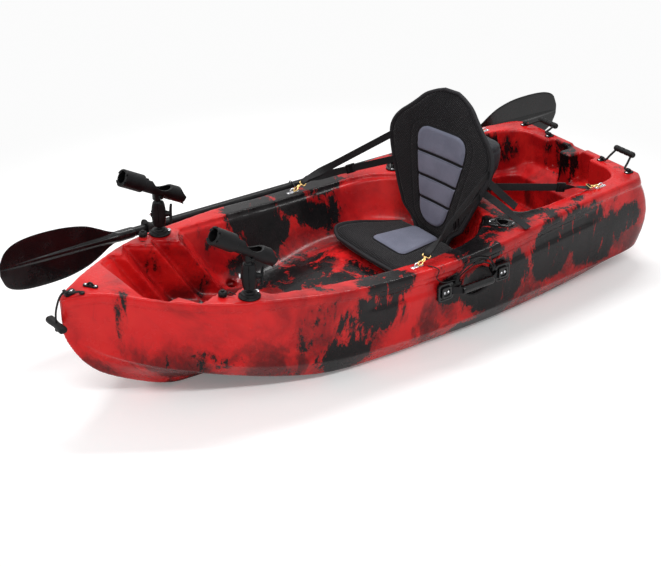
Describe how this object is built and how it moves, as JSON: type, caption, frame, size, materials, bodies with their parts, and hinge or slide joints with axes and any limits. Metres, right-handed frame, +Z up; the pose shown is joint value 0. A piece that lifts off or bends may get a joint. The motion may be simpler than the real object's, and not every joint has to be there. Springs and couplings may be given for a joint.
{
  "type": "fishing kayak",
  "caption": "Sit-on-top fishing kayak with a padded seat on straps, swivelling rod holders, a tank well, carry handles and a paddle stowed along one side.",
  "frame": {"origin": "midships on the flat of the keel, where the kayak rests", "axes": "+X towards the stern, +Y towards starboard, +Z up"},
  "size_m": [2.2236, 0.7945, 0.6526],
  "materials": {
    "hull_red": "satin moulded",
    "black_plastic": "satin",
    "gloss_black": "gloss",
    "black_rubber": "matt",
    "cord": "braided",
    "webbing": "woven",
    "seat_black": "woven",
    "seat_grey": "mesh",
    "stainless": "polished",
    "brass": "polished"
  },
  "bodies": {
    "kayak": {"blade_bow": "black_plastic", "bow_deck_eye": "black_plastic", "bow_nose_fitting": "black_plastic", "bow_toggle_rope": "cord", "deck_eye_front_port": "stainless", "deck_eye_front_starboard": "stainless", "deck_eye_rear_port": "stainless", "deck_eye_rear_starboard": "stainless", "drip_ring_bow": "black_rubber", "flush_rod_holder_port": "gloss_black", "flush_rod_holder_starboard": "gloss_black", "front_strap_port": "webbing", "front_strap_starboard": "webbing", "handle_plate_aft_port": "gloss_black", "handle_plate_aft_starboard": "gloss_black", "handle_plate_fore_port": "gloss_black", "handle_plate_fore_starboard": "gloss_black", "hull": "hull_red", "mount_plug_port": "black_rubber", "mount_plug_starboard": "black_rubber", "paddle_keeper_port": "cord", "paddle_keeper_starboard": "cord", "rear_strap_port": "webbing", "rear_strap_starboard": "webbing", "rod_base_port": "black_plastic", "rod_base_starboard": "black_plastic", "seat_cushion": "seat_grey", "shaft_bow_half": "black_plastic", "snap_hook_front_port": "brass", "snap_hook_front_starboard": "brass", "snap_hook_rear_port": "brass", "snap_hook_rear_starboard": "brass", "stern_foot_inner_port": "black_plastic", "stern_foot_inner_starboard": "black_plastic", "stern_foot_outer_port": "black_plastic", "stern_foot_outer_starboard": "black_plastic"},
    "bow_toggle_body": {"bow_toggle": "black_rubber"},
    "rod_arm_port_body": {"rod_arm_port": "black_plastic"},
    "wing_knob_port_body": {"wing_knob_port": "black_plastic"},
    "rod_cradle_port_body": {"rod_cradle_port": "black_plastic"},
    "lock_collar_port_body": {"lock_collar_port": "black_plastic"},
    "carry_grip_port_body": {"carry_grip_port": "gloss_black"},
    "hook_thumb_front_port_body": {"hook_thumb_front_port": "brass"},
    "hook_thumb_rear_port_body": {"hook_thumb_rear_port": "brass"},
    "stern_handle_port_body": {"stern_handle_port": "black_rubber"},
    "rod_arm_starboard_body": {"rod_arm_starboard": "black_plastic"},
    "wing_knob_starboard_body": {"wing_knob_starboard": "black_plastic"},
    "rod_cradle_starboard_body": {"rod_cradle_starboard": "black_plastic"},
    "lock_collar_starboard_body": {"lock_collar_starboard": "black_plastic"},
    "carry_grip_starboard_body": {"carry_grip_starboard": "gloss_black"},
    "hook_thumb_front_starboard_body": {"hook_thumb_front_starboard": "brass"},
    "hook_thumb_rear_starboard_body": {"hook_thumb_rear_starboard": "brass"},
    "stern_handle_starboard_body": {"stern_handle_starboard": "black_rubber"},
    "backrest_body": {"seat_backrest": "seat_grey", "seat_pouch": "seat_black"},
    "drain_plug_body": {"drain_plug": "black_rubber"},
    "paddle_stern_half": {"shaft_stern_half": "black_plastic", "blade_stern": "black_plastic", "drip_ring_stern": "black_rubber"},
    "shaft_button_body": {"shaft_button": "stainless"}
  },
  "joints": [
    {"name": "bow_toggle_swing", "type": "hinge", "parent": "kayak", "child": "bow_toggle_body", "pos_m": [-0.999, 0, 0.37], "axis": [0, 1, 0], "range_deg": [0, 55], "deforming": ["bow_toggle_rope"]},
    {"name": "rod_arm_port_swivel", "type": "hinge", "parent": "kayak", "child": "rod_arm_port_body", "pos_m": [-0.549, -0.243, 0.3653], "axis": [0, 0, 1], "continuous": true},
    {"name": "wing_knob_port_turn", "type": "hinge", "parent": "rod_arm_port_body", "child": "wing_knob_port_body", "pos_m": [-0.549, -0.243, 0.3983], "axis": [0.8192, -0.5736, 0], "continuous": true},
    {"name": "rod_cradle_port_tilt", "type": "hinge", "parent": "rod_arm_port_body", "child": "rod_cradle_port_body", "pos_m": [-0.549, -0.243, 0.4313], "axis": [0, 1, 0], "range_deg": [-28, 8]},
    {"name": "lock_collar_port_turn", "type": "hinge", "parent": "rod_cradle_port_body", "child": "lock_collar_port_body", "pos_m": [-0.62887, -0.243, 0.53317], "axis": [-0.8387, 0, 0.5446], "range_deg": [-100, 0]},
    {"name": "carry_grip_port_lift", "type": "hinge", "parent": "kayak", "child": "carry_grip_port_body", "pos_m": [0.173, -0.3598, 0.203], "axis": [-1, 0, 0], "range_deg": [0, 24]},
    {"name": "hook_thumb_front_port_slide", "type": "slide", "parent": "kayak", "child": "hook_thumb_front_port_body", "axis": [0.8529, 0.1218, 0.5077], "range_m": [0, 0.004], "stiffness_N_per_m": 200, "springref_m": -0.002},
    {"name": "hook_thumb_rear_port_slide", "type": "slide", "parent": "kayak", "child": "hook_thumb_rear_port_body", "axis": [-0.9376, 0.3327, 0.1008], "range_m": [0, 0.004], "stiffness_N_per_m": 200, "springref_m": -0.002},
    {"name": "stern_handle_port_swing", "type": "hinge", "parent": "kayak", "child": "stern_handle_port_body", "pos_m": [0.919, -0.1875, 0.33121], "axis": [0, -1, 0], "range_deg": [-36, 85]},
    {"name": "rod_arm_starboard_swivel", "type": "hinge", "parent": "kayak", "child": "rod_arm_starboard_body", "pos_m": [-0.549, 0.243, 0.3653], "axis": [0, 0, 1], "continuous": true},
    {"name": "wing_knob_starboard_turn", "type": "hinge", "parent": "rod_arm_starboard_body", "child": "wing_knob_starboard_body", "pos_m": [-0.549, 0.243, 0.3983], "axis": [0.8192, -0.5736, 0], "continuous": true},
    {"name": "rod_cradle_starboard_tilt", "type": "hinge", "parent": "rod_arm_starboard_body", "child": "rod_cradle_starboard_body", "pos_m": [-0.549, 0.243, 0.4313], "axis": [0, 1, 0], "range_deg": [-28, 8]},
    {"name": "lock_collar_starboard_turn", "type": "hinge", "parent": "rod_cradle_starboard_body", "child": "lock_collar_starboard_body", "pos_m": [-0.6323, 0.243, 0.52747], "axis": [-0.8746, 0, 0.4848], "range_deg": [-100, 0]},
    {"name": "carry_grip_starboard_lift", "type": "hinge", "parent": "kayak", "child": "carry_grip_starboard_body", "pos_m": [0.173, 0.3598, 0.203], "axis": [1, 0, 0], "range_deg": [0, 24]},
    {"name": "hook_thumb_front_starboard_slide", "type": "slide", "parent": "kayak", "child": "hook_thumb_front_starboard_body", "axis": [0.8529, -0.1218, 0.5077], "range_m": [0, 0.004], "stiffness_N_per_m": 200, "springref_m": -0.002},
    {"name": "hook_thumb_rear_starboard_slide", "type": "slide", "parent": "kayak", "child": "hook_thumb_rear_starboard_body", "axis": [-0.9376, -0.3327, 0.1008], "range_m": [0, 0.004], "stiffness_N_per_m": 200, "springref_m": -0.002},
    {"name": "stern_handle_starboard_swing", "type": "hinge", "parent": "kayak", "child": "stern_handle_starboard_body", "pos_m": [0.919, 0.1875, 0.33121], "axis": [0, -1, 0], "range_deg": [-4, 118]},
    {"name": "backrest_fold", "type": "hinge", "parent": "kayak", "child": "backrest_body", "pos_m": [0.298, 0, 0.188], "axis": [0, -1, 0], "range_deg": [0, 55], "deforming": ["front_strap_port", "front_strap_starboard", "rear_strap_port", "rear_strap_starboard"]},
    {"name": "drain_plug_turn", "type": "hinge", "parent": "kayak", "child": "drain_plug_body", "pos_m": [0.99, -0.06, 0.16], "axis": [1, 0, 0], "continuous": true},
    {"name": "paddle_feather", "type": "hinge", "parent": "kayak", "child": "paddle_stern_half", "pos_m": [0.09, 0.3776, 0.28321], "axis": [1, 0, -0.0087], "range_deg": [-32, 32]},
    {"name": "shaft_button_press", "type": "slide", "parent": "kayak", "child": "shaft_button_body", "axis": [-0.0087, 0, -1], "range_m": [0, 0.003], "stiffness_N_per_m": 300, "springref_m": -0.0015}
  ]
}
